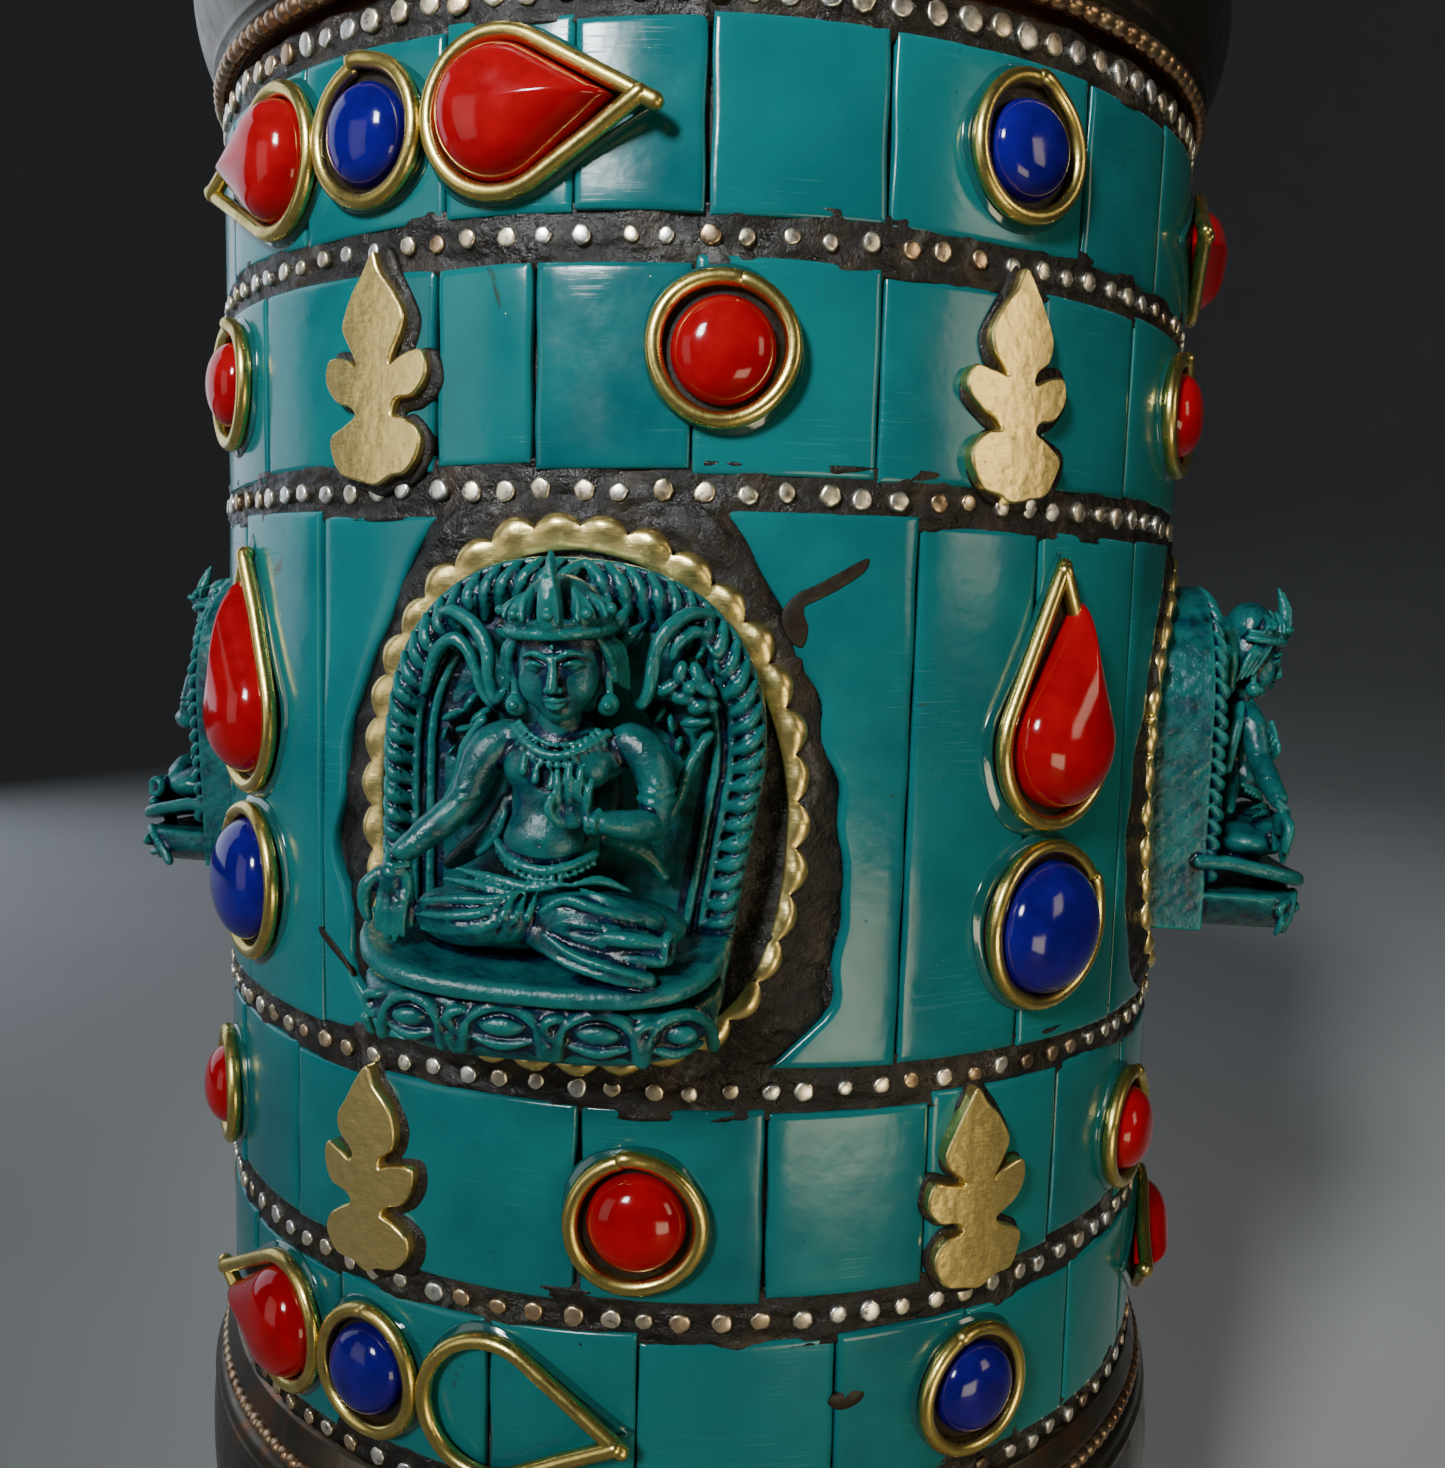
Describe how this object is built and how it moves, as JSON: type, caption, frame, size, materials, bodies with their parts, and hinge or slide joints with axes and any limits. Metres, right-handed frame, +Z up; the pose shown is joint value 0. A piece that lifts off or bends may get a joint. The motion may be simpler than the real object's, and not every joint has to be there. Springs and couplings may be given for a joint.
{
  "type": "prayer wheel",
  "caption": "Table-top prayer wheel: a tiled and stone-set drum that turns on a steel spindle in a round foot, with a lift-off lid and a wound paper scroll inside.",
  "frame": {"origin": "centre of the underside of the foot's felt, on the table", "axes": "+Z up along the spindle, -Y towards the plaque seen from the front, +X to the right"},
  "size_m": [0.1036, 0.1036, 0.207],
  "materials": {
    "felt": "matt felt",
    "white_metal": "patinated white metal, worn satin",
    "copper": "aged copper, satin",
    "wood": "oiled hardwood",
    "steel": "bright drawn rod",
    "brass": "aged brass, satin",
    "shell_disc": "polished shell",
    "paper": "hand-made paper",
    "silk": "woven silk",
    "cord": "twisted cotton",
    "lac": "dark lac, semi-gloss, with grey filler",
    "turquoise": "polished turquoise-coloured resin",
    "nail": "worn white metal and copper",
    "coral": "polished coral red",
    "lapis": "polished deep blue",
    "plaque": "moulded resin, dark wash, semi-gloss",
    "ornament_brass": "hammered sheet brass, satin"
  },
  "bodies": {
    "stand": {"felt_pad": "felt", "base_plate": "copper", "base_block": "wood", "base_shell": "white_metal", "base_bead_lower": "white_metal", "base_bead_upper": "white_metal", "spindle": "steel", "foot_washer": "steel", "foot_nut": "steel", "pivot_collar": "brass", "thrust_washer": "shell_disc", "top_washer": "brass", "top_nut": "steel"},
    "drum": {"drum_shell": "copper", "neck_band": "copper", "bottom_disc": "copper", "top_disc": "copper", "lower_bush": "brass", "upper_bush": "brass", "scroll_core": "wood", "mantra_scroll": "paper", "scroll_wrap": "silk", "scroll_ties": "cord", "lower_rim": "white_metal", "rim_bead": "white_metal", "inlay_matrix": "lac", "tile_row_1": "turquoise", "tile_row_2": "turquoise", "tile_row_3": "turquoise", "tile_row_4": "turquoise", "tile_row_5": "turquoise", "nail_row_a": "nail", "nail_row_b": "nail", "nail_row_c": "nail", "nail_row_d": "nail", "nail_row_e": "nail", "nail_row_f": "nail", "coral_rounds": "coral", "lapis_rounds": "lapis", "coral_drops": "coral", "pair_corals": "coral", "pair_lapis": "lapis", "round_bezels": "brass", "drop_bezels": "brass", "pair_drop_bezels": "brass", "pair_round_bezels": "brass", "plaque_1": "plaque", "plaque_2": "plaque", "plaque_3": "plaque", "plaque_4": "plaque", "oval_frames": "ornament_brass", "ornaments_upper": "ornament_brass", "ornaments_lower": "ornament_brass"},
    "lid": {"lid_band": "white_metal", "lid_dome": "white_metal", "lid_bead_lower": "white_metal", "lid_bead_upper": "white_metal", "finial_neck": "brass", "finial_bud": "brass", "finial_tip": "coral"}
  },
  "joints": [
    {"name": "drum_spin", "type": "hinge", "parent": "stand", "child": "drum", "pos_m": [0, 0, 0.1], "axis": [0, 0, 1], "continuous": true},
    {"name": "lid_lift", "type": "slide", "parent": "drum", "child": "lid", "axis": [0, 0, 1], "range_m": [0, 0.04]}
  ]
}
